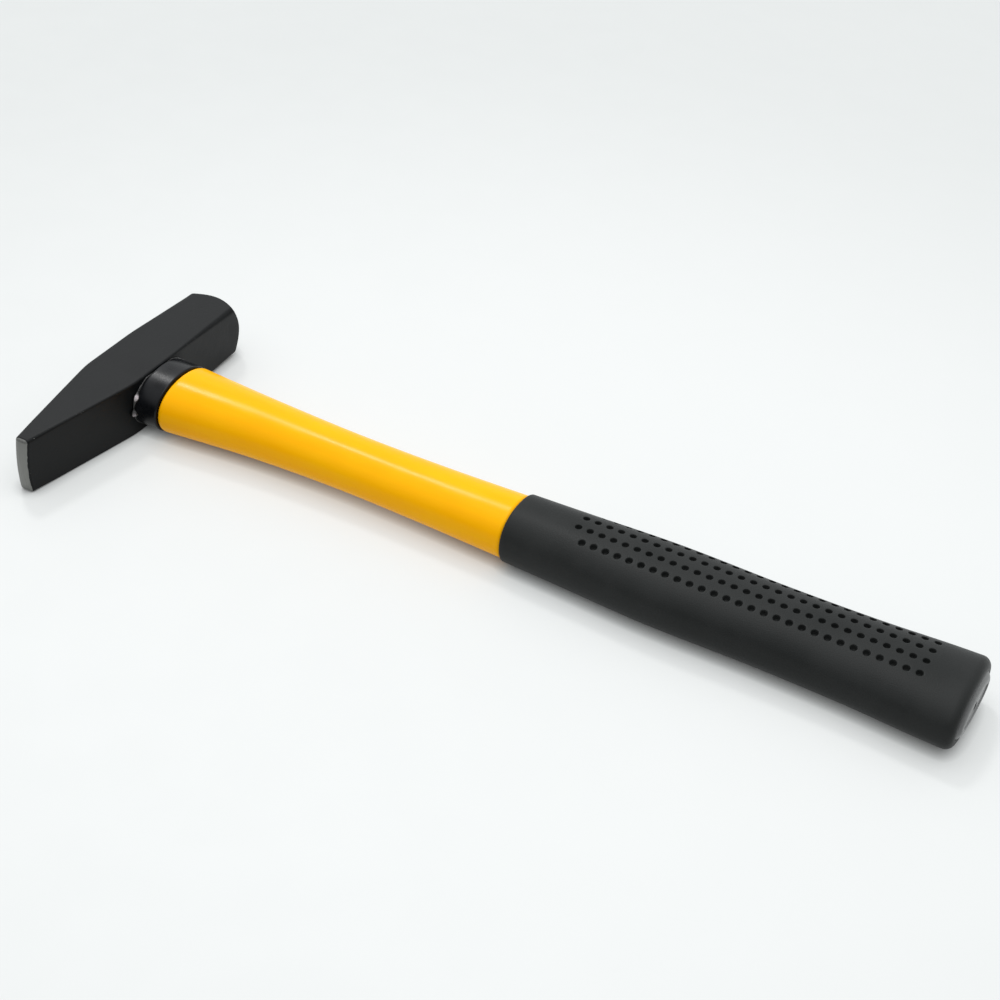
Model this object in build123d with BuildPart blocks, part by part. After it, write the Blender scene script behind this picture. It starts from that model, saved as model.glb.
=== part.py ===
from build123d import *
import math
import os

# A cross-peen hammer that lies on its cheek.
# +X runs along the handle from the head to the butt, +Y points the way the striking face looks,
# and +Z is up. The origin is under the middle of the whole hammer, on the surface that it lies on.
# Millimetres.

os.makedirs("parts", exist_ok=True)

# Head. Lengths along Y are measured from the middle of the eye
head_length = 106.2  # from the striking face's crown to the peen's edge
head_width = 20.2  # the square section at the eye
face_reach = 47.6
poll_start = 11.0  # where the poll begins to narrow towards the face
wedge_start = 13.2  # where the peen's wedge begins
edge_radius = 0.7  # long edges at the eye and along the wedge
face_width = 18.7  # what the square poll narrows to at the face
face_edge_radius = 2.0  # long edges at the face
crown_radius = 60.0
crown_circle = 8.2  # radius of the crowned striking face
bevel_slope = 0.84  # how far the turned bevel falls back for each millimetre out
peen_thickness = 4.5
peen_corner_radius = 1.2
peen_rounding = 1.0
peen_bow = 1.1  # how far the middle of the peen's edge stands out past its ends

# Eye, and the resin that fills it round the rod
eye_mouth = (10.3, 6.5)  # half width along Y and half height along Z
eye_waist = (9.5, 5.8)
resin_recess = 0.5  # below the outer side of the head
bond_gap = 0.3  # film of resin between the head and the collar
bead_width = 1.1
bead_length = 1.3
bead_lip = 0.15  # thickness that the bead runs out to along the collar
bead_half_height = 9.3

# Rod
rod_half = (7.6, 4.8)
rod_recess = 0.9
rod_end = 272.0

# Handle. Lengths along X are measured from the middle of the eye
collar_end = 18.9
grip_start = 145.8
grip_end = 293.2
butt_end = 294.2  # the plug's face
collar_half = (14.5, 9.9)
collar_edge_radius = 0.5
jacket_fullness = 2.1  # 2 is an ellipse, and more is squarer
jacket_front_radius = 2.0
jacket_stations = [  # x, half width, half height, and how far the section sits towards the striking face
    (18.9, 14.4, 9.8, 0.0),
    (52.0, 11.6, 8.9, 0.8),
    (82.4, 10.5, 8.3, 0.9),
    (114.4, 10.8, 8.5, 0.8),
    (145.8, 11.6, 9.4, 0.8),
]
grip_fullness = 2.3
grip_front_radius = 0.8
grip_lean = 0.9  # the grip's middle from the rod's, towards the striking face
grip_stations = [
    (145.8, 12.1, 9.9),
    (166.0, 13.3, 10.0),
    (192.3, 15.1, 10.05),
    (233.5, 14.9, 10.0),
    (260.0, 15.7, 10.0),
    (283.8, 17.5, 10.05),
    (293.2, 17.9, 10.05),
]
butt_radius = 3.0
tail_half = (10.2, 7.2)  # the jacket where the grip covers it

# Butt plug
plug_half = (14.6, 6.75)
plug_length = 6.0  # inside the grip
plug_bevel_width = 2.8
plug_dish_rim = 1.0
plug_dish_depth = 0.3
plug_hole_radius = 1.4
plug_hole_depth = 4.0

# Dimples in both broad sides of the grip
dimple_pitch = 3.96
dimple_row_spacing = 5.4
dimple_first_x = 166.9
dimple_count = 29
dimple_rows = 4
dimple_panel_middle = 1.8  # from the grip's middle, towards the striking face
dimple_radius = 1.1
dimple_depth = 1.8

# Worked out from the sizes above
half_head = head_width / 2
axis_height = half_head
peen_reach = head_length - face_reach
collar_start = half_head + bond_gap
tail_end = grip_end - plug_length
plug_flat_half = [half - plug_bevel_width for half in plug_half]
plug_dish_half = [half - plug_dish_rim for half in plug_flat_half]
turning_reach = head_width  # how far out the turning of the face is taken, past the poll's corners
bow_radius = (half_head**2 + peen_bow**2) / (2 * peen_bow)
eye_x = -(butt_end - half_head) / 2
eye_y = (peen_reach - face_reach) / 2


def across(x, lean=0.0):
    """Plane across the handle, x and lean from the eye's middle: its own x is +Y, its own y is +Z."""
    return Plane(origin=(eye_x + x, eye_y + lean, axis_height), x_dir=(0, 1, 0), z_dir=(1, 0, 0))


def along(y):
    """Plane across the head, y from the eye's middle: its own x is -X, its own y is +Z."""
    return Plane(origin=(eye_x, eye_y + y, axis_height), x_dir=(-1, 0, 0), z_dir=(0, 1, 0))


def oval(half_width, half_height, fullness, point_count=32):
    """A closed oval round the sketch's origin."""
    points = []
    for i in range(point_count):
        angle = 2 * math.pi * i / point_count
        c = math.cos(angle)
        s = math.sin(angle)
        y = half_width * math.copysign(abs(c) ** (2 / fullness), c)
        z = half_height * math.copysign(abs(s) ** (2 / fullness), s)
        points.append((y, z))
    with BuildSketch() as outline:
        with BuildLine():
            Spline(*points, periodic=True)
        make_face()
    return outline.sketch


def grip_rise(x, y):
    """Height of the grip's surface above the rod's middle, x from the eye's and y from the grip's."""
    for (x0, wide0, high0), (x1, wide1, high1) in zip(grip_stations, grip_stations[1:]):
        if x <= x1:
            break
    share = (x - x0) / (x1 - x0)
    wide = wide0 + share * (wide1 - wide0)
    high = high0 + share * (high1 - high0)
    return high * (1 - abs(y / wide) ** grip_fullness) ** (1 / grip_fullness)


# The eye's space: an hourglass oval right through the head
with BuildPart() as eye_space:
    for x, half in ((-half_head, eye_mouth), (0, eye_waist), (half_head, eye_mouth)):
        with BuildSketch(across(x)):
            Ellipse(*half)
    loft()

# Rod: glass fibre in resin, from just inside the eye's outer mouth to near the butt
with BuildPart() as core_rod:
    with BuildSketch(across(rod_recess - half_head)):
        Ellipse(*rod_half)
    extrude(amount=rod_end + half_head - rod_recess)

# Head: a square poll whose face is turned, and a wedge-shaped cross peen with a rounded edge
with BuildPart() as hammer_head:
    for y, thickness, height, corner in (
        (-peen_reach, peen_thickness, head_width, peen_corner_radius),
        (-wedge_start, head_width, head_width, edge_radius),
        (poll_start, head_width, head_width, edge_radius),
        (face_reach, face_width, face_width, face_edge_radius),
    ):
        with BuildSketch(along(y)):
            RectangleRounded(thickness, height, corner)
    loft(ruled=True)
    with BuildSketch(Plane.YZ.offset(eye_x)):
        with Locations((eye_y - peen_reach, axis_height)):
            Rectangle(4 * peen_bow, 1.5 * head_width)
        with Locations((eye_y - peen_reach + bow_radius, axis_height)):
            Circle(bow_radius, mode=Mode.SUBTRACT)
    extrude(amount=head_width, both=True, mode=Mode.SUBTRACT)
    fillet(hammer_head.faces().sort_by(Axis.Y)[0].edges(), peen_rounding)
    crown_top = (eye_x, eye_y + face_reach)
    crown_drop = crown_radius - math.sqrt(crown_radius**2 - crown_circle**2)
    crown_rim = (eye_x + crown_circle, crown_top[1] - crown_drop)
    bevel_end = (eye_x + turning_reach, crown_rim[1] - bevel_slope * (turning_reach - crown_circle))
    with BuildSketch(Plane.XY.offset(axis_height)):
        with BuildLine():
            TangentArc(crown_top, crown_rim, tangent=(1, 0))
            Polyline(
                crown_rim,
                bevel_end,
                (bevel_end[0], crown_top[1] + turning_reach),
                (eye_x, crown_top[1] + turning_reach),
                crown_top,
            )
        make_face()
    revolve(axis=Axis((eye_x, eye_y, axis_height), (0, 1, 0)), mode=Mode.SUBTRACT)
    add(eye_space.part, mode=Mode.SUBTRACT)

# The collar's outer form
with BuildPart() as collar_form:
    with BuildSketch(across(collar_start)):
        add(oval(*collar_half, jacket_fullness))
    extrude(amount=collar_end - collar_start)
    fillet(collar_form.edges(), collar_edge_radius)

# Collar round the neck, bonded to the head
with BuildPart() as neck_collar:
    add(collar_form.part)
    add(core_rod.part, mode=Mode.SUBTRACT)

# Resin: fills the eye, bonds the collar to the head, and squeezes out round the collar as a bead
with BuildPart() as eye_resin:
    add(eye_space.part)
    split(bisect_by=across(resin_recess - half_head), keep=Keep.TOP)
    with BuildSketch(across(half_head)):
        add(oval(collar_half[0] + bead_width, collar_half[1] + bead_width, jacket_fullness))
    with BuildSketch(across(half_head + bead_length)):
        add(oval(collar_half[0] + bead_lip, collar_half[1] + bead_lip, jacket_fullness))
    loft()
    with BuildSketch(across(-half_head)):
        Rectangle(3 * head_width, 2 * bead_half_height)
    extrude(amount=2 * head_width, mode=Mode.INTERSECT)
    add(collar_form.part, mode=Mode.SUBTRACT)
    add(core_rod.part, mode=Mode.SUBTRACT)

# Jacket: the plastic moulded over the rod, plain where the grip covers it, and waisted where it shows,
# more on the peen's side than on the face's
with BuildPart() as shaft_jacket:
    for x, half_width, half_height, lean in jacket_stations:
        with BuildSketch(across(x, lean)):
            add(oval(half_width, half_height, jacket_fullness))
    loft()
    fillet(shaft_jacket.faces().sort_by(Axis.X)[0].edges(), jacket_front_radius)
    with BuildSketch(across(grip_start, grip_lean)):
        Ellipse(*tail_half)
    extrude(amount=tail_end - grip_start)
    add(core_rod.part, mode=Mode.SUBTRACT)

# Grip: the soft sleeve with dimpled panels and a flared butt
with BuildPart() as grip_sleeve:
    for x, half_width, half_height in grip_stations:
        with BuildSketch(across(x, grip_lean)):
            add(oval(half_width, half_height, grip_fullness))
    loft()
    fillet(grip_sleeve.faces().sort_by(Axis.X)[0].edges(), grip_front_radius)
    fillet(grip_sleeve.faces().sort_by(Axis.X)[-1].edges(), butt_radius)
    with BuildSketch(across(grip_start, grip_lean)):
        Ellipse(*tail_half)
    extrude(amount=tail_end - grip_start, mode=Mode.SUBTRACT)
    with BuildSketch(across(tail_end, grip_lean)):
        Ellipse(*plug_half)
    extrude(amount=plug_length, mode=Mode.SUBTRACT)
    dimple_places = []
    for row in range(dimple_rows):
        y = dimple_panel_middle + (row - (dimple_rows - 1) / 2) * dimple_row_spacing
        outer_row = row in (0, dimple_rows - 1)
        for i in range(1 if outer_row else 0, dimple_count):
            x = dimple_first_x + i * dimple_pitch
            for side in (1, -1):
                z = axis_height + side * grip_rise(x, y)
                dimple_places.append((eye_x + x, eye_y + grip_lean + y, z))
    with Locations(*dimple_places):
        Cylinder(dimple_radius, 2 * dimple_depth, mode=Mode.SUBTRACT)

# Plug: closes the butt, and stands out of it with a bevelled rim round a shallow dish
with BuildPart() as butt_plug:
    for x, half in ((tail_end, plug_half), (grip_end, plug_half), (butt_end, plug_flat_half)):
        with BuildSketch(across(x, grip_lean)):
            Ellipse(*half)
    loft(ruled=True)
    with BuildSketch(across(butt_end, grip_lean)):
        Ellipse(*plug_dish_half)
    extrude(amount=-plug_dish_depth, mode=Mode.SUBTRACT)
    with BuildSketch(across(butt_end, grip_lean)):
        Circle(plug_hole_radius)
    extrude(amount=-plug_hole_depth, mode=Mode.SUBTRACT)

hammer_head.part.label = "hammer_head"
core_rod.part.label = "core_rod"
eye_resin.part.label = "eye_resin"
neck_collar.part.label = "neck_collar"
shaft_jacket.part.label = "shaft_jacket"
grip_sleeve.part.label = "grip_sleeve"
butt_plug.part.label = "butt_plug"

export_step(hammer_head.part, "parts/hammer_head.step")
export_step(core_rod.part, "parts/core_rod.step")
export_step(eye_resin.part, "parts/eye_resin.step")
export_step(neck_collar.part, "parts/neck_collar.step")
export_step(shaft_jacket.part, "parts/shaft_jacket.step")
export_step(grip_sleeve.part, "parts/grip_sleeve.step")
export_step(butt_plug.part, "parts/butt_plug.step")
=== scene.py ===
import math

import bpy
import numpy as np
from mathutils import Matrix, Vector, noise


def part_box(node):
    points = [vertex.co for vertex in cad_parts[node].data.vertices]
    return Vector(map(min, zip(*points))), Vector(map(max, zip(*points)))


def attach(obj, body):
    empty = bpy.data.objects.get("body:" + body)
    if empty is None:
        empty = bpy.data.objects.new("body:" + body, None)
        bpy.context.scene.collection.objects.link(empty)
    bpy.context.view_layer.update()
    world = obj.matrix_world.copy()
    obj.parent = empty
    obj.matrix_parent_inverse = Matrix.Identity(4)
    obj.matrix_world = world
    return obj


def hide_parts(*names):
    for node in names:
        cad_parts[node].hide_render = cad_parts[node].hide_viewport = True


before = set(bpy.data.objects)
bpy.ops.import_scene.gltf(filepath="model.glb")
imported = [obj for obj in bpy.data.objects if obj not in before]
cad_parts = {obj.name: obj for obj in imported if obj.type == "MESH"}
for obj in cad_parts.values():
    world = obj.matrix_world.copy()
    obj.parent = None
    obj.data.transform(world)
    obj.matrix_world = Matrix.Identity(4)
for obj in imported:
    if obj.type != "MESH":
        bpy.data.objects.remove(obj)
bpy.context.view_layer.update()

# A cross-peen hammer lying on its cheek. Every shape below is in millimetres from the middle of the eye:
# x along the handle, y the way the striking face looks, z up from the handle's axis.
MM = 0.001
head_low, head_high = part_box("hammer_head")
collar_low, collar_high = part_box("neck_collar")
grip_low, grip_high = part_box("grip_sleeve")
plug_low, plug_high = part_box("butt_plug")
EYE = Vector((
    (head_low.x + head_high.x) / 2,
    (collar_low.y + collar_high.y) / 2,
    (head_low.z + head_high.z) / 2,
))


def reach(corner, axis):
    """How far a corner of a CAD box is from the eye's middle along one axis, in millimetres."""
    return (corner[axis] - EYE[axis]) / MM


# Head
HEAD_HALF = reach(head_high, 2)
FACE_REACH = reach(head_high, 1)
PEEN_REACH = -reach(head_low, 1)
WEDGE_START = 13.2
POLL_START = 11.0
FORGED_BEND = 1.2  # how softly the flats turn into the wedge and the poll
EDGE_RADIUS = 0.7
PEEN_THICKNESS = 4.5
PEEN_CORNER = 1.2
PEEN_ROUNDING = 1.3
PEEN_CROWN = 0.2  # how far the middle of the peen's end stands out past its border
PEEN_BOW = 1.1  # how far the middle of the peen's edge stands out past its ends
PEEN_BOW_FADE = 12.0  # how far in from the edge the bow fades out
PEEN_LAND = 0.75  # how far in from the edge the ground steel shows
FACE_HALF = 9.35
FACE_CORNER = 2.0
POLL_END = 40.5  # where the flats begin to bend to the turned bevel's outline
CROWN_RADIUS = 60.0
FACE_CIRCLE = 8.2  # radius of the crowned striking face
BEVEL_SLOPE = 0.84  # how far back the turned bevel falls for each millimetre out
PAINT_EDGE = 0.06  # how far the paint fades at the ground steel, each way
FORGING_DEPTH = 0.07  # how far the forged flats wander in
FORGING_SIZE = 9.0
EYE_MOUTH = (10.3, 6.5)
EYE_WAIST = (9.5, 5.8)
EYE_RIM = 0.4
EYE_MARGIN = 1.6  # from the eye's mouth to the opening left for it in the head's side
BORE_END = 8.5  # how far from the middle the bore's own rings go
WEDGE_SLOPE = (HEAD_HALF - PEEN_THICKNESS / 2) / (PEEN_REACH - WEDGE_START)
HEAD_ARC = 8  # steps round each long edge
HEAD_SIDE = 14  # steps along each flat
SHARPEST_CORNER = 0.35
EDGE_WEAR = 0.35  # where a long edge meets a flat

# Handle
ROD_HALF = (7.6, 4.8)
ROD_START = reach(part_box("core_rod")[0], 0)
RESIN_START = reach(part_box("eye_resin")[0], 0)
COLLAR_START = reach(collar_low, 0)
COLLAR_END = reach(collar_high, 0)
COLLAR_HALF = (reach(collar_high, 1), reach(collar_high, 2))
COLLAR_EDGE = 0.5
RESIN_CLIMB = 0.25  # how far the middle of the resin stands in from its rim, in the eye's outer mouth
BEAD_WIDTH = 1.1
BEAD_LENGTH = 1.3
BEAD_HALF_HEIGHT = 9.3
BEAD_PROFILE = (  # share of the bead's length and of its width
    (0.0, 1.0),
    (0.16, 1.02),
    (0.36, 0.97),
    (0.58, 0.8),
    (0.78, 0.52),
    (0.92, 0.22),
    (1.0, 0.0),
)
BLOBS = ((154, 7, 1.0), (184, 6, 0.6), (338, 8, 0.4))  # where thick resin ran out: degrees, spread, and strength of the painted highlight on its crest
BLOB_SIZE = 1.1  # against a full bead
FILM = 0.02  # how far the resin keeps from the steel and the collar
JACKET_FULLNESS = 2.1  # 2 is an ellipse, and more is squarer
JACKET_FRONT_RADIUS = 2.0
JACKET_STATIONS = (  # x, half width, half height, and how far the section sits towards the striking face
    (18.9, 14.4, 9.8, 0.0),
    (52.0, 11.6, 8.9, 0.8),
    (82.4, 10.5, 8.3, 0.9),
    (114.4, 10.8, 8.5, 0.8),
    (145.8, 11.6, 9.4, 0.8),
)
GRIP_LEAN = (reach(grip_low, 1) + reach(grip_high, 1)) / 2  # the grip's middle from the rod's
GRIP_START = reach(grip_low, 0)
GRIP_END = reach(grip_high, 0)
GRIP_FULLNESS = 2.3
GRIP_FRONT_RADIUS = 0.8
GRIP_SIDE = 30  # steps round each narrow side of the grip
GRIP_STATIONS = (
    (145.8, 12.1, 9.9),
    (166.0, 13.3, 10.0),
    (192.3, 15.1, 10.05),
    (233.5, 14.9, 10.0),
    (260.0, 15.7, 10.0),
    (283.8, 17.5, 10.05),
    (293.2, 17.9, 10.05),
)
BUTT_RADIUS = 3.0
TAIL_HALF = (10.2, 7.2)  # the jacket where the grip covers it
TAIL_END = reach(plug_low, 0)
TAIL_MOUTH = 1.03  # how many times the tail's size its hole is, where it opens into the plug's pocket
PLUG_HALF = (reach(plug_high, 1) - GRIP_LEAN, reach(plug_high, 2))
PLUG_FACE = reach(plug_high, 0)
PLUG_GAP = 0.1  # all round the plug in its pocket
PLUG_LIP = 0.12  # rounding of the grip's edge round the plug
PLUG_BACK = 0.4  # from the pocket's floor to the plug's back
PLUG_BEVEL_WIDTH = 2.8
PLUG_BEVEL_START = 0.15  # inside the grip's end
PLUG_DISH_RIM = 1.0
PLUG_DISH_DEPTH = 0.3
PLUG_DISH_WALL = 0.5  # width of the slope round the dish
PLUG_HOLE = 1.4
PLUG_HOLE_DEPTH = 4.0
PLUG_HOLE_EDGE = 0.2
PARTING_HEIGHT = 0.05  # of the line where the mould's halves met
PARTING_WIDTH = 0.22
NO_PARTING = 0.05  # the parting line stops where the section is set in this far

# Dimples in both broad sides of the grip
DIMPLE_PITCH = 3.96
DIMPLE_ROW_SPACING = 5.4
DIMPLE_FIRST_X = 166.9
DIMPLE_COUNT = 29
DIMPLE_ROWS = 4
DIMPLE_MIDDLE = 1.8  # from the grip's middle, towards the striking face
DIMPLE_MARGIN = 2.0  # from the outermost rows to the edge of the panel
DIMPLE_SPLITS = 6  # grid steps along each side of a dimple's cell
DIMPLE_PROFILE = (  # radius and depth, from the lip to near the middle
    (1.38, 0.0),
    (1.26, 0.015),
    (1.17, 0.07),
    (1.11, 0.2),
    (1.07, 0.8),
    (1.00, 1.4),
    (0.78, 1.68),
    (0.40, 1.78),
)
DIMPLE_DEPTH = 1.8


class Skin:
    """Gathers one piece's points and faces, ring by ring."""

    def __init__(self):
        self.points = []
        self.faces = []
        self.wear = []

    def add(self, points, wear=0.0):
        """Adds points, and returns their numbers. wear is 1 on an edge that rubs and 0 on a flat; on the
        resin bead it carries the painted highlight on the blobs' crests instead.
        """
        first = len(self.points)
        self.points.extend(map(tuple, points))
        self.wear.extend(np.broadcast_to(wear, len(points)).tolist())
        return np.arange(first, first + len(points))

    def chain(self, rings, holes=()):
        """Faces from each ring to the next, point for point, with holes given as (ring, point)."""
        for i, (near, far) in enumerate(zip(rings, rings[1:])):
            for j in range(len(near)):
                if (i, j) not in holes:
                    k = (j + 1) % len(near)
                    self.faces.append((near[j], near[k], far[k], far[j]))

    def lean(self, sideways):
        """Moves all the points so far across the handle."""
        self.points = [(x, y + sideways, z) for x, y, z in self.points]

    def close(self, ring, middle, wear=0.0):
        """Closes a ring with a fan of faces round its middle point."""
        centre = self.add([middle], wear)[0]
        for i in range(len(ring)):
            self.faces.append((ring[i], ring[(i + 1) % len(ring)], centre))

    def object(self, name, material, node):
        """Makes the Blender object, and gives it its place in the frame."""
        mesh = bpy.data.meshes.new(name)
        points = np.array(self.points) * MM + np.array(EYE)
        mesh.from_pydata(points.tolist(), [], [tuple(map(int, f)) for f in self.faces])
        mesh.validate()
        mesh.polygons.foreach_set("use_smooth", [True] * len(mesh.polygons))
        wear = mesh.attributes.new("wear", "FLOAT", "POINT")
        wear.data.foreach_set("value", self.wear)
        mesh.materials.append(material)
        piece = bpy.data.objects.new(name, mesh)
        bpy.context.scene.collection.objects.link(piece)
        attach(piece, "root")
        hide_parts(node)
        return piece


def oval(half, fullness, angles):
    """Points of an oval across the handle, as two rows of y and z."""
    c, s = np.cos(angles), np.sin(angles)
    y = half[0] * np.sign(c) * np.abs(c) ** (2 / fullness)
    z = half[1] * np.sign(s) * np.abs(s) ** (2 / fullness)
    return y, z


def oval_ring(x, half, fullness, count):
    """A ring of points across the handle at x."""
    angles = np.linspace(0, 2 * math.pi, count, endpoint=False)
    y, z = oval(half, fullness, angles)
    return np.column_stack([np.full(count, x), y, z])


def smooth_through(stations, x):
    """What the stations give for x, on a smooth curve through them."""
    s = np.array(stations)
    slopes = np.gradient(s[:, 1:], s[:, 0], axis=0)
    i = np.clip(np.searchsorted(s[:, 0], x) - 1, 0, len(s) - 2)
    step = s[i + 1, 0] - s[i, 0]
    t = (x - s[i, 0]) / step
    weights = (
        (2 * t**3 - 3 * t**2 + 1, s[i, 1:]),
        ((t**3 - 2 * t**2 + t) * step, slopes[i]),
        (3 * t**2 - 2 * t**3, s[i + 1, 1:]),
        ((t**3 - t**2) * step, slopes[i + 1]),
    )
    return sum(np.asarray(weight)[..., None] * value for weight, value in weights)


def rounding(radius, steps=6):
    """Pairs of how far along and how far in, round a quarter circle from the end to the full section."""
    turns = np.linspace(0, math.pi / 2, steps + 1)
    return [(radius * (1 - math.cos(a)), radius * (1 - math.sin(a))) for a in turns]


def soft_ramp(distance, softness):
    """0 before a bend and the distance after it, turning softly."""
    return softness * np.logaddexp(0, distance / softness)


# ---------------------------------------------------------------- head


def head_section(y):
    """Half thickness along x, half height along z and corner radius of the head at y."""
    wedge = soft_ramp(-y - WEDGE_START, FORGED_BEND) / (PEEN_REACH - WEDGE_START)
    poll = soft_ramp(y - POLL_START, FORGED_BEND) / (FACE_REACH - POLL_START)
    thick = HEAD_HALF - wedge * (HEAD_HALF - PEEN_THICKNESS / 2) - poll * (HEAD_HALF - FACE_HALF)
    high = HEAD_HALF - poll * (HEAD_HALF - FACE_HALF)
    wedge_corner = wedge**3 * (PEEN_CORNER - EDGE_RADIUS)
    corner = EDGE_RADIUS + wedge_corner + poll * (FACE_CORNER - EDGE_RADIUS)
    return thick, high, corner


def flat_shares():
    """Places along a flat from -1 to 1, with one close to each end to keep the flat's shading flat."""
    inner = np.linspace(-0.93, 0.93, HEAD_SIDE - 1)
    return np.concatenate([[-1], inner, [1]])


def head_ring(y, inset=0.0):
    """The head's outline at y, from the middle of the top towards +x, and how much each point rubs."""
    thick, high, corner = head_section(y)
    thick, high = thick - inset, high - inset
    corner = min(max(corner - inset, SHARPEST_CORNER), thick * 0.95)
    shares = flat_shares()
    half = len(shares) // 2
    turns = np.linspace(0, math.pi / 2, HEAD_ARC + 1)[1:-1]
    x, z, wear = [], [], []

    def flat(x_ends, z_ends, part):
        for share in part:
            x.append(x_ends[0] + (x_ends[1] - x_ends[0]) * (share + 1) / 2)
            z.append(z_ends[0] + (z_ends[1] - z_ends[0]) * (share + 1) / 2)
            wear.append(EDGE_WEAR if abs(share) == 1 else 0.0)

    def arc(x_centre, z_centre, start):
        for turn in turns:
            x.append(x_centre + corner * math.sin(start + turn))
            z.append(z_centre + corner * math.cos(start + turn))
            wear.append(EDGE_WEAR + (1 - EDGE_WEAR) * math.sin(2 * turn))

    a, b = thick - corner, high - corner
    flat((-a, a), (high, high), shares[half:])
    arc(a, b, 0)
    flat((thick, thick), (b, -b), shares)
    arc(a, -b, math.pi / 2)
    flat((a, -a), (-high, -high), shares)
    arc(-a, -b, math.pi)
    flat((-thick, -thick), (-b, b), shares)
    arc(-a, b, 3 * math.pi / 2)
    flat((-a, a), (high, high), shares[:half])
    points = np.column_stack([x, np.full(len(x), y), z])
    bow = PEEN_BOW * (points[:, 2] / HEAD_HALF) ** 2 * max(1 - (y + PEEN_REACH) / PEEN_BOW_FADE, 0)
    points[:, 0] *= 1 + bow * WEDGE_SLOPE / thick
    points[:, 1] += bow
    return points, np.array(wear)


def head_stations():
    """The y of each ring between the peen's rounding and the turned bevel."""
    first = PEEN_ROUNDING - PEEN_REACH
    return np.concatenate([
        [first, first + 0.3],
        np.linspace(first + 1, -WEDGE_START - 5, 34),
        np.linspace(-WEDGE_START - 4, POLL_START + 5, 40),
        np.linspace(POLL_START + 6, POLL_END, 24),
    ])


def face_y(spread):
    """The y of the crowned face or of the turned bevel, at a distance from the poll's axis."""
    rim = FACE_REACH - CROWN_RADIUS + math.sqrt(CROWN_RADIUS**2 - FACE_CIRCLE**2)
    crown = FACE_REACH - CROWN_RADIUS + np.sqrt(CROWN_RADIUS**2 - spread**2)
    return np.where(spread > FACE_CIRCLE, rim - (spread - FACE_CIRCLE) * BEVEL_SLOPE, crown)


def face_rings():
    """Rings from the end of the poll's flats over the turned bevel and the crown, with their wear."""
    start, wear = head_ring(POLL_END)
    edge = start.copy()
    for _ in range(3):  # closes in on where the flats and the bevel meet
        edge[:, 1] = face_y(np.hypot(edge[:, 0], edge[:, 2]))
        halves = np.array([head_section(y)[0] for y in edge[:, 1]]) / head_section(POLL_END)[0]
        edge[:, 0], edge[:, 2] = start[:, 0] * halves, start[:, 2] * halves
    rings = []
    for share in (0.3, 0.55, 0.75, 0.88, 0.95):
        rings.append((start * (1 - share) + edge * share, wear))
    spread = np.hypot(edge[:, 0], edge[:, 2])
    round_ring = edge * (FACE_CIRCLE / spread)[:, None]
    for share, sink in ((0.0, 0.05), (0.05, 0), (0.12, 0), (0.35, 0), (0.65, 0), (0.9, 0), (1.0, 0.03)):
        ring = edge * (1 - share) + round_ring * share
        ring[:, 1] = face_y(np.hypot(ring[:, 0], ring[:, 2]) + 1e-6) - sink  # just on the bevel
        rings.append((ring, np.full(len(ring), 0.9 if sink else 0.3)))
    for share in (0.96, 0.85, 0.7, 0.52, 0.34, 0.18, 0.07):
        ring = round_ring * share
        ring[:, 1] = face_y(np.hypot(ring[:, 0], ring[:, 2]))
        rings.append((ring, np.full(len(ring), 0.2)))
    return rings


def eye_half(depth):
    """Half width and half height of the eye at a depth from the head's middle."""
    share = min(abs(depth) / HEAD_HALF, 1) ** 2
    return [waist + (mouth - waist) * share for mouth, waist in zip(EYE_MOUTH, EYE_WAIST)]


def eye_ring(x, grow, angles):
    """A ring of points round the eye at x, grown outwards."""
    half = eye_half(x)
    y = (half[0] + grow) * np.cos(angles)
    z = (half[1] + grow) * np.sin(angles)
    return np.column_stack([np.full(len(angles), x), y, z])


def open_eye(skin, rings, stations):
    """Leaves a rectangle open in each side of the head, and joins the two through the eye."""
    count = len(rings[0])
    quarter = count // 4
    low = next(i for i, y in enumerate(stations) if y > -EYE_MOUTH[0] - EYE_MARGIN)
    high = next(i for i, y in enumerate(stations) if y > EYE_MOUTH[0] + EYE_MARGIN)
    first = quarter * 3 - HEAD_SIDE // 2 + 1
    last = quarter * 3 + HEAD_SIDE // 2 - 1
    loop = [(low, j) for j in range(first, last)]
    loop += [(i, last) for i in range(low, high)]
    loop += [(high, j) for j in range(last, first, -1)]
    loop += [(i, first) for i in range(high, low, -1)]
    outer = np.array([rings[i][j] for i, j in loop])
    inner = np.array([rings[i][(count - j) % count] for i, j in loop])
    spots = np.array([skin.points[n] for n in outer])
    angles = np.arctan2(spots[:, 2] / EYE_MOUTH[1], spots[:, 1] / EYE_MOUTH[0])

    def side(sign):
        """Rings from the open rectangle to the eye's rim, on the side of the head with that sign."""
        made = []
        rim = eye_ring(HEAD_HALF, EYE_RIM, angles)
        for share in (0.3, 0.6, 0.85, 1.0):
            spot = spots * (1 - share) + rim * share
            spot[:, 0] = [sign * head_section(y)[0] for y in spot[:, 1]]
            made.append(skin.add(spot))
        for along, inwards in rounding(EYE_RIM, 4)[1:]:
            ring = eye_ring(HEAD_HALF, inwards, angles)
            ring[:, 0] = sign * (HEAD_HALF - along)
            made.append(skin.add(ring, 0.6))
        return made

    bore = [skin.add(eye_ring(x, 0, angles)) for x in np.linspace(-BORE_END, BORE_END, 11)]
    skin.chain([outer, *side(-1), *bore, *side(1)[::-1], inner])
    holes = set()
    for i in range(low, high):
        for j in range(first, last):
            holes.add((i, j))
            holes.add((i, count - j - 1))
    return holes


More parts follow.
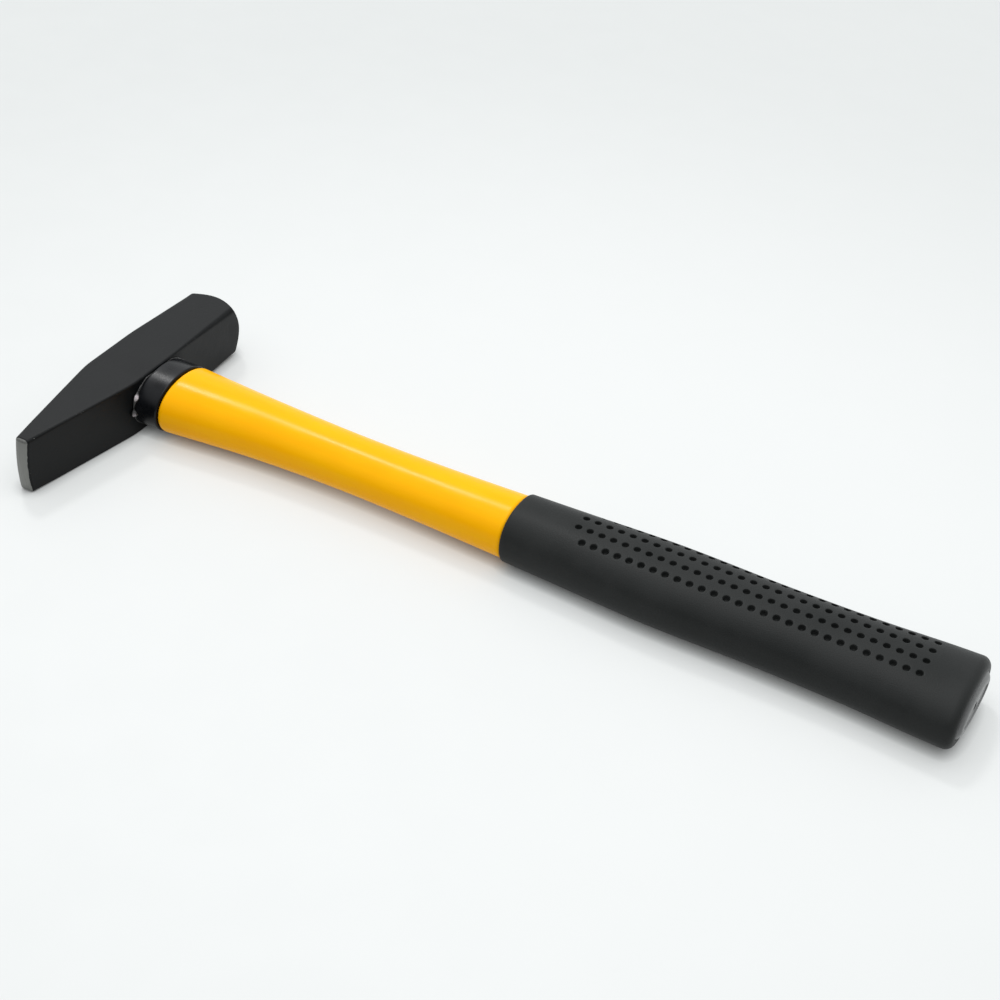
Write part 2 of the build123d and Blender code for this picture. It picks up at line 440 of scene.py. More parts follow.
def make_head(material):
    """The forged head: a wedge-shaped peen, an eye right through, and a poll with a turned face."""
    skin = Skin()
    tip = []
    for along, inwards in rounding(PEEN_ROUNDING, 7):
        y = along + PEEN_CROWN * (1 - along / PEEN_ROUNDING) - PEEN_REACH
        points, _ = head_ring(y, inwards)
        tip.append(skin.add(points, 1.0))
    stations = head_stations()
    body = [skin.add(*head_ring(y)) for y in stations]
    face = [skin.add(points, wear) for points, wear in face_rings()]
    holes = open_eye(skin, body, stations)
    skin.chain([*tip, body[0]])
    skin.chain([body[-1], *face])
    skin.chain(body, holes)
    skin.close(face[-1], (0, FACE_REACH, 0), 0.2)
    end = [tip[0]]
    for share in (0.8, 0.5, 0.2):
        points = np.array([skin.points[n] for n in tip[0]]) * (share, 1, share)
        bow = PEEN_BOW * (points[:, 2] / HEAD_HALF) ** 2
        points[:, 1] = PEEN_CROWN * share**2 + bow - PEEN_REACH
        end.append(skin.add(points, 0.4))
    skin.chain(end[::-1])
    skin.close(end[-1][::-1], (0, -PEEN_REACH, 0), 0.4)
    head = skin.object("forged_head", material, "hammer_head")
    roughen(head, FORGING_DEPTH, FORGING_SIZE)


def roughen(piece, depth, size):
    """Moves each point in along its normal by smooth noise, so that flats aren't perfect."""
    for vertex in piece.data.vertices:
        spot = Vector(vertex.co) / (size * MM)
        wander = 0.5 + 0.5 * noise.noise(spot)
        vertex.co -= vertex.normal * depth * MM * min(max(wander, 0), 1)


# ---------------------------------------------------------------- collar, resin and jacket


def make_collar(material):
    """The collar between the head and the jacket, bored for the rod."""
    skin = Skin()
    count = 120
    rings = []
    edge = rounding(COLLAR_EDGE, 5)
    for along, inwards in edge:
        half = (COLLAR_HALF[0] - inwards, COLLAR_HALF[1] - inwards)
        rings.append(skin.add(oval_ring(COLLAR_START + along, half, JACKET_FULLNESS, count), 0.6))
    for x in np.linspace(COLLAR_START + COLLAR_EDGE + 0.3, COLLAR_END - COLLAR_EDGE - 0.3, 9):
        rings.append(skin.add(oval_ring(x, COLLAR_HALF, JACKET_FULLNESS, count)))
    for along, inwards in edge[::-1]:
        half = (COLLAR_HALF[0] - inwards, COLLAR_HALF[1] - inwards)
        rings.append(skin.add(oval_ring(COLLAR_END - along, half, JACKET_FULLNESS, count), 0.6))
    for x in np.linspace(COLLAR_END, COLLAR_START, 5):
        rings.append(skin.add(oval_ring(x, ROD_HALF, 2, count)))
    skin.chain([*rings, rings[0]])
    skin.object("collar_ring", material, "neck_collar")


def bead_size(angle):
    """How full the bead is at an angle round the collar: a thin skin, with a few blobs."""
    spot = Vector((math.cos(angle) * 3.4, math.sin(angle) * 3.4, 4.0))
    size = 0.30 + 0.35 * noise.noise(spot) + 0.2 * noise.noise(spot * 2.4)
    return max(size, 0.1) + sum(BLOB_SIZE * blob_at(angle, place, spread) for place, spread, _ in BLOBS)


def blob_at(angle, place, spread):
    """How much of a blob there is at an angle: 1 at its place, and less further off."""
    away = (math.degrees(angle) - place + 180) % 360 - 180
    return math.exp(-((away / spread) ** 2))


def painted_highlight_at(angle):
    """How strong the painted highlight is at an angle round the collar, on the crests where its blobs stand
    thick.
    """
    return sum(pale * blob_at(angle, place, spread) for place, spread, pale in BLOBS)


def make_resin(material):
    """Resin that fills the eye round the rod and squeezes out round the collar as a lumpy bead."""
    skin = Skin()
    count = 240
    angles = np.linspace(0, 2 * math.pi, count, endpoint=False)
    rings = []
    for share in (0.06, 0.3, 0.55, 0.75, 0.88, 0.96, 1.0):
        ring = eye_ring(RESIN_START, 0, angles) * (1, share, share)
        ring[:, 0] = RESIN_START + RESIN_CLIMB * (1 - share**6)
        rings.append(skin.add(ring))
    for x in np.linspace(RESIN_START + 0.4, HEAD_HALF - 0.6, 12):
        rings.append(skin.add(eye_ring(x, -FILM, angles)))
    sizes = np.array([bead_size(a) for a in angles])
    painted_highlight = np.array([painted_highlight_at(a) for a in angles])
    collar_y, collar_z = oval(COLLAR_HALF, JACKET_FULLNESS, angles)
    normal_y, normal_z = (
        np.sign(spots) * np.abs(spots / half) ** (JACKET_FULLNESS - 1) / half
        for spots, half in zip((collar_y, collar_z), COLLAR_HALF)
    )
    length = np.hypot(normal_y, normal_z)
    for along, out in BEAD_PROFILE:
        across = BEAD_WIDTH * sizes * out + FILM
        x = HEAD_HALF + FILM + BEAD_LENGTH * sizes * along
        y = collar_y + across * normal_y / length
        z = np.clip(collar_z + across * normal_z / length, -BEAD_HALF_HEIGHT, BEAD_HALF_HEIGHT)
        # painted highlight: the blobs' crests carry a pale colour through the wear attribute, standing in
        # for glints of light
        rings.append(skin.add(np.column_stack([x, y, z]), painted_highlight * (0.2 < along < 0.85)))
    behind = COLLAR_START - 0.05
    rings.append(skin.add(np.column_stack([np.full(count, behind), collar_y * 0.9, collar_z * 0.9])))
    rings.append(skin.add(oval_ring(behind, ROD_HALF, 2, count)))
    rings.append(skin.add(oval_ring(ROD_START, ROD_HALF, 2, count)))
    skin.chain(rings)
    skin.close(rings[0][::-1], (RESIN_START + RESIN_CLIMB, 0, 0))
    skin.close(rings[-1], (ROD_START, 0, 0))
    skin.object("resin_bead", material, "eye_resin")


def parting(angles):
    """Height of the mould's parting line, which runs down the middle of both narrow sides."""
    away = np.sin(angles) * 12  # roughly how far each point is from the line, in millimetres
    return PARTING_HEIGHT * np.exp(-((away / PARTING_WIDTH) ** 2))


def handle_angles(count):
    """Angles round the handle, closer together at the parting line."""
    turns = np.linspace(0, 2 * math.pi, count, endpoint=False)
    return turns - 0.32 * np.sin(2 * turns)


def make_jacket(material):
    """The jacket over the rod: waisted where it shows, and a plain tail inside the grip."""
    skin = Skin()
    angles = handle_angles(128)
    ridge = parting(angles)
    rings = []

    def ring(x, inset):
        half_width, half_height, lean = smooth_through(JACKET_STATIONS, x)
        y, z = oval((half_width - inset, half_height - inset), JACKET_FULLNESS, angles)
        lift = ridge if inset < NO_PARTING else 0
        return skin.add(np.column_stack([np.full(len(y), x), y + np.sign(y) * lift + lean, z]))

    for along, inwards in rounding(JACKET_FRONT_RADIUS, 10):
        rings.append(ring(COLLAR_END + along, inwards))
    for x in np.linspace(COLLAR_END + JACKET_FRONT_RADIUS + 0.6, GRIP_START, 110):
        rings.append(ring(x, 0))
    for x in np.linspace(GRIP_START, TAIL_END, 40):
        y, z = oval(TAIL_HALF, 2, angles)
        rings.append(skin.add(np.column_stack([np.full(len(y), x), y + GRIP_LEAN, z])))
    for x in np.linspace(TAIL_END, COLLAR_END, 40):
        y, z = oval(ROD_HALF, 2, angles)
        rings.append(skin.add(np.column_stack([np.full(len(y), x), y, z])))
    skin.chain([*rings, rings[0]])
    skin.object("jacket_tube", material, "shaft_jacket")


# ---------------------------------------------------------------- grip and plug


def panel_rows():
    """The y of each row of dimples, and of each grid line across their panel."""
    middle = (DIMPLE_ROWS - 1) / 2
    rows = [DIMPLE_MIDDLE + (row - middle) * DIMPLE_ROW_SPACING for row in range(DIMPLE_ROWS)]
    edges = [rows[0] - DIMPLE_MARGIN]
    edges += [(a + b) / 2 for a, b in zip(rows, rows[1:])]
    edges += [rows[-1] + DIMPLE_MARGIN]
    lines = [edges[0]]
    for a, b in zip(edges, edges[1:]):
        lines += np.linspace(a, b, DIMPLE_SPLITS + 1)[1:].tolist()
    return rows, np.array(lines)


def grip_ring(x, inset, lines, stretch):
    """The grip's outline at x: over the top panel, round the -y side, under, and round the +y side."""
    half = smooth_through(GRIP_STATIONS, x) - inset
    n = GRIP_FULLNESS
    across = lines[::-1] * stretch
    rise = half[1] * (1 - np.abs(across / half[0]) ** n) ** (1 / n)

    def side(sign, edge):
        start = math.acos((abs(edge) / half[0]) ** (n / 2))
        turns = np.linspace(start, -start, GRIP_SIDE + 1)[1:-1]
        y, z = oval(half, n, turns)
        return sign * (y + parting(turns) * (inset < NO_PARTING)), z

    left_y, left_z = side(-1, across[-1])
    right_y, right_z = side(1, across[0])
    y = np.concatenate([across, left_y, across[::-1], right_y[::-1]])
    z = np.concatenate([rise, left_z, -rise[::-1], right_z[::-1]])
    return np.column_stack([np.full(len(y), x), y, z])


def rise_at(x, y):
    """Height of the grip's surface above the handle's axis."""
    half = smooth_through(GRIP_STATIONS, x)
    return half[..., 1] * (1 - np.abs(y / half[..., 0]) ** GRIP_FULLNESS) ** (1 / GRIP_FULLNESS)


def sink_dimple(skin, loop, x, y, side):
    """Fills a cell's loop of points with a dimple that is round seen from above."""
    spots = np.array([skin.points[n] for n in loop])[:, :2] - (x, y)
    around = spots / np.hypot(spots[:, 0], spots[:, 1])[:, None]
    rings = [loop]
    lip = DIMPLE_PROFILE[0][0]
    outlines = [((spots * 0.45 + around * lip * 0.55), 0.0)]
    outlines += [(around * radius, depth) for radius, depth in DIMPLE_PROFILE]
    for outline, depth in outlines:
        flat = outline + (x, y)
        level = side * (rise_at(flat[:, 0], flat[:, 1]) - depth)
        wear = 0.5 if 0 < depth < 0.1 else 0.0
        rings.append(skin.add(np.column_stack([flat, level]), wear))
    skin.chain(rings)
    skin.close(rings[-1], (x, y, side * (rise_at(x, y) - DIMPLE_DEPTH)))


def make_grip(material):
    """The soft grip: a dimpled sleeve over the jacket's tail, with a pocket for the plug."""
    skin = Skin()
    rows, lines = panel_rows()
    first = DIMPLE_FIRST_X - DIMPLE_PITCH / 2
    last = first + DIMPLE_COUNT * DIMPLE_PITCH
    wide_first = smooth_through(GRIP_STATIONS, first)[0]
    wide_last = smooth_through(GRIP_STATIONS, last)[0]
    plan = []
    for along, inwards in rounding(GRIP_FRONT_RADIUS, 6):
        plan.append((GRIP_START + along, inwards))
    step = DIMPLE_PITCH / DIMPLE_SPLITS
    for x in np.arange(GRIP_START + GRIP_FRONT_RADIUS + step, first - step / 2, step * 1.3):
        plan.append((x, 0))
    panel_start = len(plan)
    for i in range(DIMPLE_COUNT * DIMPLE_SPLITS + 1):
        plan.append((first + i * step, 0))
    for x in np.arange(last + step, GRIP_END - BUTT_RADIUS - step / 2, step):
        plan.append((x, 0))
    for along, inwards in rounding(BUTT_RADIUS, 12)[::-1]:
        plan.append((GRIP_END - along, inwards))
    rings = []
    for x, inset in plan:
        wide = smooth_through(GRIP_STATIONS, x)[0] - inset
        stretch = min(wide / wide_first, 1) if x < first else min(wide / wide_last, 1) if x > last else 1
        rings.append(skin.add(grip_ring(x, inset, lines, stretch)))
    under = len(lines) + GRIP_SIDE - 1  # where the ring comes to the panel underneath

    holes = set()
    for row in range(DIMPLE_ROWS):
        outer_row = row in (0, DIMPLE_ROWS - 1)
        for number in range(1 if outer_row else 0, DIMPLE_COUNT):
            i0 = panel_start + number * DIMPLE_SPLITS
            i1 = i0 + DIMPLE_SPLITS
            x = DIMPLE_FIRST_X + number * DIMPLE_PITCH
            for side in (1, -1):
                if side > 0:
                    j0 = (DIMPLE_ROWS - 1 - row) * DIMPLE_SPLITS
                else:
                    j0 = under + row * DIMPLE_SPLITS
                j1 = j0 + DIMPLE_SPLITS
                loop = [rings[i0][j] for j in range(j0, j1)]
                loop += [rings[i][j1] for i in range(i0, i1)]
                loop += [rings[i1][j] for j in range(j1, j0, -1)]
                loop += [rings[i][j0] for i in range(i1, i0, -1)]
                sink_dimple(skin, np.array(loop), x, rows[row], side)
                holes.update((i, j) for i in range(i0, i1) for j in range(j0, j1))
    skin.chain(rings, holes)

    outline = np.array([skin.points[n] for n in rings[-1]])
    angles = np.arctan2(outline[:, 2] / PLUG_HALF[1], outline[:, 1] / PLUG_HALF[0])

    def ring(x, half, wear=0.0):
        y, z = oval(half, 2, angles)
        return skin.add(np.column_stack([np.full(len(y), x), y, z]), wear)

    pocket = np.array(PLUG_HALF)
    inner = [rings[-1]]
    for along, inwards in rounding(PLUG_LIP, 4):
        inner.append(ring(GRIP_END - along, pocket + inwards, 0.4))
    inner.append(ring(TAIL_END + 0.3, pocket))
    inner.append(ring(TAIL_END + 0.1, pocket - 0.3))
    inner.append(ring(TAIL_END, np.array(TAIL_HALF) * TAIL_MOUTH))
    for x in np.linspace(TAIL_END, GRIP_START + 0.01, 24):
        inner.append(ring(x, TAIL_HALF))
    skin.chain([*inner, rings[0]])
    skin.lean(GRIP_LEAN)
    skin.object("grip_rubber", material, "grip_sleeve")


def make_plug(material):
    """The butt plug: a bevelled rim that stands out of the grip, round a dish with a gate well."""
    skin = Skin()
    count = 120
    half = np.array(PLUG_HALF) - PLUG_GAP
    flat = np.array(PLUG_HALF) - PLUG_BEVEL_WIDTH
    dish = flat - PLUG_DISH_RIM
    well = np.array([PLUG_HOLE, PLUG_HOLE])
    floor = dish - PLUG_DISH_WALL
    floor_x = PLUG_FACE - PLUG_DISH_DEPTH
    back = TAIL_END + PLUG_BACK
    bevel_start = GRIP_END - PLUG_BEVEL_START
    rings = [skin.add(oval_ring(back, half * share, 2, count)) for share in (0.3, 0.7, 1.0)]
    for x in np.linspace(TAIL_END + 1.5, GRIP_END - 0.4, 5):
        rings.append(skin.add(oval_ring(x, half, 2, count)))
    for share in np.linspace(0, 1, 9):
        spread = half * (1 - share) + flat * share
        x = bevel_start + (PLUG_FACE - bevel_start) * math.sin(share * math.pi / 2) ** 0.9
        rings.append(skin.add(oval_ring(x, spread, 2, count), 0.3))
    rings.append(skin.add(oval_ring(PLUG_FACE, flat * 0.6 + dish * 0.4, 2, count), 0.3))
    for share, sink in ((0.0, 0.03), (0.25, 0.14), (0.6, 0.26), (1.0, PLUG_DISH_DEPTH)):
        spread = dish - PLUG_DISH_WALL * share
        rings.append(skin.add(oval_ring(PLUG_FACE - sink, spread, 2, count), 0.6 * (1 - share)))
    for share in (0.12, 0.35, 0.6, 0.85, 0.97):
        spread = floor * (1 - share) + (well + PLUG_HOLE_EDGE) * share
        rings.append(skin.add(oval_ring(floor_x, spread, 2, count)))
    for along, inwards in rounding(PLUG_HOLE_EDGE, 3):
        rings.append(skin.add(oval_ring(floor_x - along, well + inwards, 2, count), 0.4))
    bottom = PLUG_FACE - PLUG_HOLE_DEPTH
    rings.append(skin.add(oval_ring(bottom + 0.3, well * 0.93, 2, count)))
    rings.append(skin.add(oval_ring(bottom, well * 0.5, 2, count)))
    skin.chain(rings)
    skin.close(rings[0][::-1], (back, 0, 0))
    skin.close(rings[-1], (bottom, 0, 0))
    skin.lean(GRIP_LEAN)
    skin.object("plug_cap", material, "butt_plug")


# ---------------------------------------------------------------- materials


class Shader:
    """A material's nodes, with short ways to add them."""

    def __init__(self, name):
        self.material = bpy.data.materials.new(name)
        self.material.use_nodes = True
        self.tree = self.material.node_tree
        self.surface = self.tree.nodes["Principled BSDF"]
        self.place = self.node("ShaderNodeTexCoord").outputs["Object"]

    def node(self, kind, **settings):
        made = self.tree.nodes.new(kind)
        for key, value in settings.items():
            setattr(made, key, value)
        return made

    def join(self, source, socket):
        self.tree.links.new(source, socket)

    def set(self, **values):
        """Sets inputs of the surface that are the same all over."""
        for name, value in values.items():
            self.surface.inputs[name.replace("_", " ")].default_value = value

    def noise(self, size, detail=3.0, roughness=0.5, stretch=(1, 1, 1)):
        """Smooth noise whose lumps are about size millimetres across, longer by stretch."""
        mapping = self.node("ShaderNodeMapping")
        mapping.inputs["Scale"].default_value = [1 / s for s in stretch]
        self.join(self.place, mapping.inputs["Vector"])
        made = self.node("ShaderNodeTexNoise")
        made.inputs["Scale"].default_value = 1 / (size * MM)
        made.inputs["Detail"].default_value = detail
        made.inputs["Roughness"].default_value = roughness
        self.join(mapping.outputs["Vector"], made.inputs["Vector"])
        return made.outputs["Fac"]

    def cells(self, size):
        """How far it is to the middle of the nearest of many cells, about size millimetres across."""
        made = self.node("ShaderNodeTexVoronoi")
        made.inputs["Scale"].default_value = 1 / (size * MM)
        self.join(self.place, made.inputs["Vector"])
        return made.outputs["Distance"]

    def span(self, value, low, high, to_low=0.0, to_high=1.0, smooth=True):
        """Maps a value from one range to another, clamped."""
        made = self.node("ShaderNodeMapRange")
        made.interpolation_type = "SMOOTHSTEP" if smooth else "LINEAR"
        for name, number in zip(("From Min", "From Max", "To Min", "To Max"), (low, high, to_low, to_high)):
            made.inputs[name].default_value = number
        self.join(value, made.inputs["Value"])
        return made.outputs["Result"]

    def math(self, operation, a, b):
        made = self.node("ShaderNodeMath", operation=operation)
        for socket, value in zip(made.inputs, (a, b)):
            if isinstance(value, (int, float)):
                socket.default_value = value
            else:
                self.join(value, socket)
        return made.outputs["Value"]

    def mix(self, share, a, b):
        """Mixes two colours or two numbers."""
        colour = not isinstance(a, (int, float)) and (isinstance(a, tuple) or a.type == "RGBA")
        made = self.node("ShaderNodeMix", data_type="RGBA" if colour else "FLOAT")
        kind = "RGBA" if colour else "VALUE"
        sockets = [s for s in made.inputs if s.name in "AB" and s.type == kind]
        self.join(share, made.inputs[0])
        for socket, value in zip(sockets, (a, b)):
            if isinstance(value, (int, float)):
                socket.default_value = value
            elif isinstance(value, tuple):
                socket.default_value = (*value, 1)
            else:
                self.join(value, socket)
        return next(s for s in made.outputs if s.type == kind)

    def axis(self, number):
        """The place along x, y or z, in metres."""
        split = self.node("ShaderNodeSeparateXYZ")
        self.join(self.place, split.inputs[0])
        return split.outputs[number]

    def wear(self):
        return self.node("ShaderNodeAttribute", attribute_name="wear").outputs["Fac"]

    def bump(self, *layers):
        """Stacks height layers, each a value and its depth in millimetres."""
        normal = None
        for height, depth in layers:
            made = self.node("ShaderNodeBump")
            made.inputs["Distance"].default_value = depth * MM
            self.join(height, made.inputs["Height"])
            if normal is not None:
                self.join(normal, made.inputs["Normal"])
            normal = made.outputs["Normal"]
        self.join(normal, self.surface.inputs["Normal"])

    def colour(self, source):
        self.join(source, self.surface.inputs["Base Color"])

    def roughness(self, source):
        self.join(source, self.surface.inputs["Roughness"])


def lacquered_steel():
    """Black lacquer on forged steel, ground bare on the peen's edge and the striking face."""
    s = Shader("lacquered_steel")
    y = s.axis(1)
    ragged = s.span(s.noise(2.5, 4, 0.6), 0.3, 0.7, -0.1 * MM, 0.1 * MM, smooth=False)
    moved = s.math("ADD", y, ragged)
    peen_line = EYE.y - (PEEN_REACH - PEEN_LAND) * MM
    face_line = EYE.y + float(face_y(FACE_CIRCLE - 0.1)) * MM
    blur = PAINT_EDGE * MM
    height = s.math("MULTIPLY", s.math("SUBTRACT", s.axis(2), EYE.z), 1 / (HEAD_HALF * MM))
    bow = s.math("MULTIPLY", s.math("MULTIPLY", height, height), PEEN_BOW * MM)
    bowed = s.math("SUBTRACT", moved, bow)
    at_peen = s.span(bowed, peen_line - blur, peen_line + blur, 1, 0)
    at_face = s.span(moved, face_line - blur, face_line + blur, 0, 1)
    ground = s.math("MAXIMUM", at_peen, at_face)
    chips = s.span(s.noise(0.55, 5, 0.65), 0.66, 0.70)
    rubbed = s.math("MULTIPLY", s.span(s.wear(), 0.75, 1.0), chips)
    bare = s.math("MAXIMUM", ground, rubbed)

    patches = s.noise(14, 4, 0.55)
    speckle = s.noise(0.35, 3, 0.6)
    paint = s.mix(s.span(patches, 0.35, 0.7), (0.0035, 0.0042, 0.0046), (0.0060, 0.0069, 0.0074))
    paint = s.mix(s.span(speckle, 0.55, 0.75, 0, 0.5), paint, (0.011, 0.012, 0.013))
    scratches = s.noise(0.22, 2, 0.5, stretch=(1, 1, 26))
    steel = s.mix(scratches, (0.15, 0.151, 0.143), (0.26, 0.262, 0.250))
    s.colour(s.mix(bare, paint, steel))
    s.set(Specular_IOR_Level=0.15)
    paint_gloss = s.span(patches, 0.3, 0.75, 0.36, 0.50)
    steel_gloss = s.span(scratches, 0.3, 0.7, 0.34, 0.52)
    s.roughness(s.mix(bare, paint_gloss, steel_gloss))
    s.join(bare, s.surface.inputs["Metallic"])
    peel = s.noise(0.9, 2, 0.5)
    pits = s.span(s.noise(2.2, 4, 0.6), 0.30, 0.48)
    step = s.math("MULTIPLY", bare, -1.0)
    lines = s.math("MULTIPLY", bare, scratches)
    s.bump((peel, 0.010), (pits, 0.012), (speckle, 0.004), (step, 0.03), (lines, 0.02))
    return s.material


def satin_plastic(name, dark, light, gloss, grain, shine):
    """Moulded plastic with a fine grain."""
    s = Shader(name)
    cloud = s.noise(7, 3, 0.55)
    fine = s.noise(grain, 3, 0.6)
    s.colour(s.mix(s.span(cloud, 0.35, 0.7), dark, light))
    s.set(Specular_IOR_Level=shine)
    s.roughness(s.span(cloud, 0.3, 0.7, gloss - 0.05, gloss + 0.06))
    s.bump((fine, 0.006), (s.noise(5.0, 2), 0.008))
    return s.material


def glossy_resin():
    """Cured black resin with a few bubbles, and a pale painted highlight on the crests of the thickest
    blobs.
    """
    s = Shader("glossy_resin")
    cloud = s.noise(3.5, 3)
    black = s.mix(cloud, (0.004, 0.004, 0.005), (0.012, 0.011, 0.010))
    # painted highlight: pale colour where the wear attribute marks the blobs' crests
    s.colour(s.mix(s.span(s.wear(), 0.25, 1.0), black, (0.60, 0.54, 0.56)))
    s.roughness(s.span(cloud, 0.3, 0.7, 0.16, 0.28))
    bubbles = s.span(s.cells(1.1), 0.0, 0.22, 0, 1)
    s.bump((s.noise(1.6, 2), 0.10), (bubbles, 0.06))
    return s.material


def yellow_plastic():
    """Glossy yellow plastic with faint flow marks along the handle."""
    s = Shader("yellow_plastic")
    flow = s.noise(5, 4, 0.55, stretch=(6, 1, 1))
    cloud = s.noise(16, 3)
    fleck = s.span(s.noise(0.4, 2), 0.70, 0.78, 0, 0.35)
    colour = s.mix(s.span(flow, 0.3, 0.7), (0.985, 0.445, 0.001), (0.99, 0.478, 0.0015))
    colour = s.mix(s.span(cloud, 0.35, 0.75, 0, 0.5), colour, (0.985, 0.432, 0.001))
    s.colour(s.mix(fleck, colour, (0.92, 0.36, 0.001)))
    s.roughness(s.span(flow, 0.25, 0.75, 0.19, 0.27))
    s.set(Specular_IOR_Level=0.07)
    s.bump((s.noise(4.0, 2, stretch=(3, 1, 1)), 0.05), (s.noise(0.5, 2), 0.003))
    return s.material


def soft_rubber():
    """Matte black rubber with a fine moulded grain, a little worn and dusty."""
    s = Shader("soft_rubber")
    cloud = s.noise(18, 4, 0.6)
    grain = s.cells(0.42)
    dust = s.span(s.noise(0.6, 4, 0.7), 0.56, 0.80, 0, 0.5)
    colour = s.mix(s.span(cloud, 0.3, 0.7), (0.0185, 0.0200, 0.0196), (0.0235, 0.0250, 0.0246))
    s.colour(s.mix(dust, colour, (0.029, 0.031, 0.031)))
    s.roughness(s.span(cloud, 0.3, 0.7, 0.38, 0.48))
    s.set(Specular_IOR_Level=0.09, Sheen_Weight=0.01, Sheen_Roughness=0.5)
    s.bump((s.noise(6, 3), 0.05), (grain, 0.028), (s.noise(0.2, 2), 0.010))
    return s.material


def glass_fibre():
    """Glass fibre in resin: pale, with fibres along the rod."""
    s = Shader("glass_fibre")
    fibres = s.noise(0.25, 4, 0.6, stretch=(60, 1, 1))
    wet = s.noise(9, 3, stretch=(4, 1, 1))
    colour = s.mix(fibres, (0.42, 0.37, 0.22), (0.68, 0.63, 0.46))
    s.colour(s.mix(s.span(wet, 0.4, 0.7, 0, 0.6), colour, (0.50, 0.42, 0.22)))
    s.roughness(s.span(fibres, 0.3, 0.7, 0.28, 0.45))
    s.bump((fibres, 0.03))
    return s.material


def pale_floor():
    """Matte pale paper with painted light: a painted pool of light that darkens away from the middle, and a
    painted glow that lifts its shadows, taken away as painted contact shade where something lies close
    above it.
    """
    s = Shader("pale_floor")
    middle = s.node("ShaderNodeVectorMath", operation="LENGTH")
    s.join(s.place, middle.inputs[0])
    # painted falloff of light: the paper and its glow darken away from the middle
    away = s.span(middle.outputs["Value"], 0.1, 0.4)
    paper = s.mix(s.noise(60, 3), (0.384, 0.389, 0.388), (0.394, 0.399, 0.398))
    s.colour(s.mix(away, paper, (0.342, 0.350, 0.348)))
    s.roughness(s.span(s.noise(20, 3), 0.3, 0.7, 0.55, 0.65))
    # painted contact shade: the glow is taken away where something lies close above the paper
    clear = s.node("ShaderNodeAmbientOcclusion", samples=8)
    clear.inputs["Distance"].default_value = PAINTED_SHADE_REACH
    # painted glow of the paper, a little weaker away from the middle
    dimmer = s.span(away, 0.0, 1.0, PAINTED_FLOOR_GLOW, PAINTED_FLOOR_GLOW * 0.9, smooth=False)
    s.join(s.math("MULTIPLY", dimmer, clear.outputs["AO"]), s.surface.inputs["Emission Strength"])
    s.set(Specular_IOR_Level=0.2, Emission_Color=(0.97, 1.0, 0.99, 1))
    return s.material


# ---------------------------------------------------------------- stage

CAMERA_PLACE = Vector((0.21616, -0.42480, 0.38746))
CAMERA_HEADING = -0.46992  # from +Y towards +X, in radians
CAMERA_DIP = 0.65236
CAMERA_ROLL = -0.06916
CAMERA_LENS = 71.092
FLOOR_RADIUS = 6.0
TENT_BRIGHT_SIDE = (-0.25, 0.35, 0.9)
TENT_FALL = (-0.05, 0.6)  # where the tent's light rises, from square to the bright side towards it
TENT_LIGHT = (0.18, 0.98)  # from the dim side to the bright side
TENT_TINT = (0.965, 0.985, 1.0)
PAINTED_FLOOR_GLOW = 0.42  # painted glow of the paper that lifts its shadows, taken away as painted contact shade where something lies close above it
# how close above the paper something must lie to take away its painted glow, as painted contact shade, in
# metres
PAINTED_SHADE_REACH = 0.004
BACKDROP = (0.62, 0.63, 0.63)
KEY_FROM = (-0.45, 0.38, 0.81)
KEY_STRENGTH = 0.70
KEY_ANGLE = math.radians(9)
OVERHEAD_FROM = (0.0, 0.05, 1.0)
OVERHEAD_WATTS = 3.9
OVERHEAD_SIZE = (0.9, 0.7)


def make_floor():
    """A round sheet of pale paper."""
    mesh = bpy.data.meshes.new("floor")
    ring = [
        (FLOOR_RADIUS * math.cos(a), FLOOR_RADIUS * math.sin(a), 0)
        for a in np.linspace(0, 2 * math.pi, 96, endpoint=False)
    ]
    mesh.from_pydata(ring, [], [tuple(range(len(ring)))])
    mesh.materials.append(pale_floor())
    floor = bpy.data.objects.new("floor", mesh)
    bpy.context.scene.collection.objects.link(floor)


def make_light(name, kind, place, power, **settings):
    """A soft white light that looks at the middle of the object from the given place."""
    data = bpy.data.lights.new(name, kind)
    data.energy = power
    for key, value in settings.items():
        setattr(data, key, value)
    light = bpy.data.objects.new(name, data)
    light.location = place
    light.rotation_euler = Vector(place).to_track_quat("Z", "Y").to_euler()
    bpy.context.scene.collection.objects.link(light)


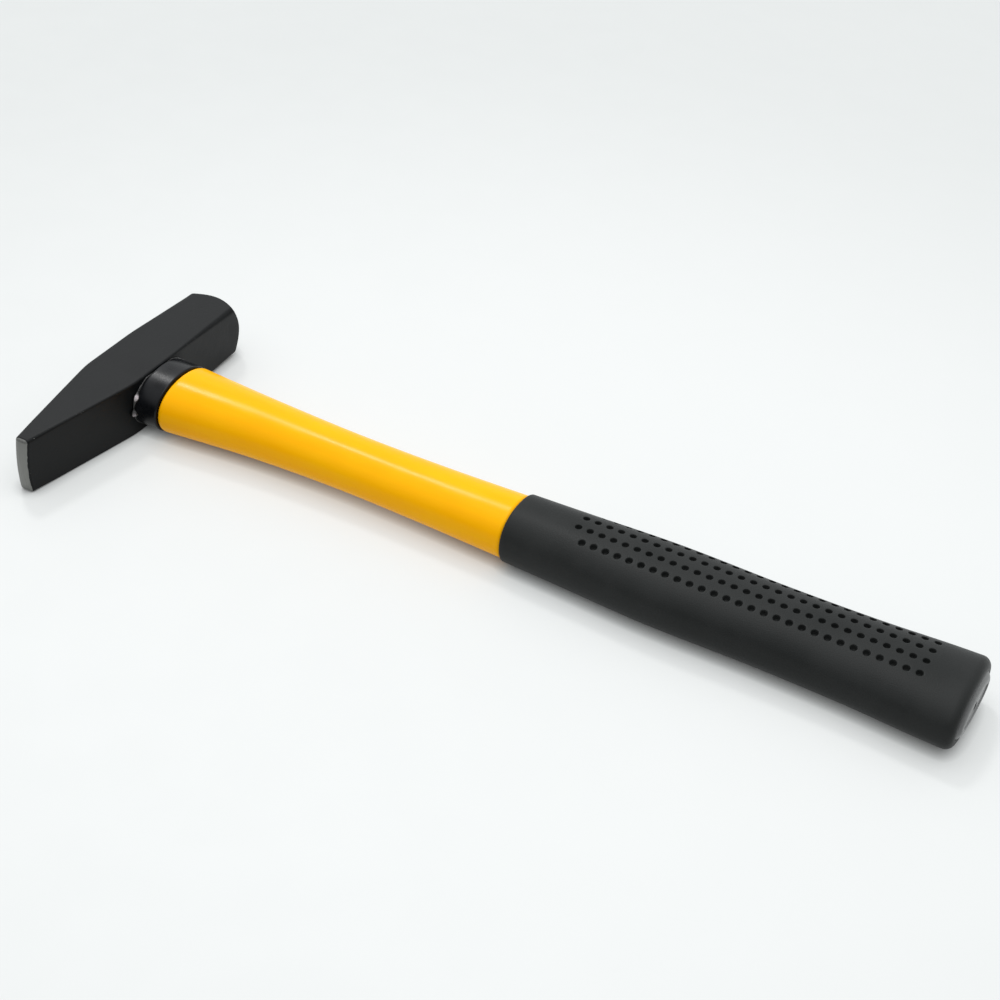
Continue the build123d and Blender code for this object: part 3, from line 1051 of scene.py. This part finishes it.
def make_world():
    """A light tent: bright above and behind to the left, dimmer in front, and plain pale to the camera."""
    world = bpy.data.worlds.new("studio")
    world.use_nodes = True
    tree = world.node_tree
    background = tree.nodes["Background"]
    around = tree.nodes.new("ShaderNodeTexCoord").outputs["Generated"]
    facing = tree.nodes.new("ShaderNodeVectorMath")
    facing.operation = "DOT_PRODUCT"
    facing.inputs[1].default_value = Vector(TENT_BRIGHT_SIDE).normalized()
    tree.links.new(around, facing.inputs[0])
    ramp = tree.nodes.new("ShaderNodeMapRange")
    ramp.interpolation_type = "SMOOTHSTEP"
    for socket, value in zip(("From Min", "From Max", "To Min", "To Max"), (*TENT_FALL, *TENT_LIGHT)):
        ramp.inputs[socket].default_value = value
    tree.links.new(facing.outputs["Value"], ramp.inputs["Value"])
    tent = tree.nodes.new("ShaderNodeVectorMath")
    tent.operation = "SCALE"
    tent.inputs[0].default_value = TENT_TINT
    tree.links.new(ramp.outputs["Result"], tent.inputs["Scale"])
    seen = tree.nodes.new("ShaderNodeMix")
    seen.data_type = "RGBA"
    tent_colour, plain_colour = [s for s in seen.inputs if s.type == "RGBA"]
    seen_colour = next(s for s in seen.outputs if s.type == "RGBA")
    path = tree.nodes.new("ShaderNodeLightPath")
    tree.links.new(path.outputs["Is Camera Ray"], seen.inputs[0])
    tree.links.new(tent.outputs["Vector"], tent_colour)
    plain_colour.default_value = (*BACKDROP, 1)
    tree.links.new(seen_colour, background.inputs["Color"])
    bpy.context.scene.world = world


def make_camera():
    """The photograph's camera, a little rolled."""
    data = bpy.data.cameras.new("camera")
    data.lens = CAMERA_LENS
    data.sensor_width = 36
    data.clip_start = 0.01
    data.clip_end = 50
    camera = bpy.data.objects.new("camera", data)
    heading, dip = CAMERA_HEADING, CAMERA_DIP
    ahead = Vector((
        math.sin(heading) * math.cos(dip),
        math.cos(heading) * math.cos(dip),
        -math.sin(dip),
    ))
    level = Vector((math.cos(heading), -math.sin(heading), 0))
    down = ahead.cross(level)
    right = level * math.cos(CAMERA_ROLL) + down * math.sin(CAMERA_ROLL)
    up = level * math.sin(CAMERA_ROLL) - down * math.cos(CAMERA_ROLL)
    turn = Matrix((right, up, -ahead)).transposed()
    camera.matrix_world = Matrix.Translation(CAMERA_PLACE) @ turn.to_4x4()
    bpy.context.scene.collection.objects.link(camera)
    bpy.context.scene.camera = camera


make_camera()
make_world()
make_floor()
make_light("key", "SUN", KEY_FROM, KEY_STRENGTH, angle=KEY_ANGLE)
wide, deep = OVERHEAD_SIZE
make_light("overhead", "AREA", OVERHEAD_FROM, OVERHEAD_WATTS, shape="RECTANGLE", size=wide, size_y=deep)
bpy.context.scene.view_settings.view_transform = "Standard"

make_head(lacquered_steel())
collar_tones = (0.003, 0.0035, 0.0045), (0.006, 0.0065, 0.008)
make_collar(satin_plastic("collar_plastic", *collar_tones, gloss=0.28, grain=0.3, shine=0.2))
make_resin(glossy_resin())
make_jacket(yellow_plastic())
make_grip(soft_rubber())
plug_tones = (0.085, 0.086, 0.086), (0.105, 0.106, 0.106)
make_plug(satin_plastic("plug_plastic", *plug_tones, gloss=0.30, grain=0.35, shine=0.5))

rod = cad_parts["core_rod"]
rod.data.materials.clear()
rod.data.materials.append(glass_fibre())
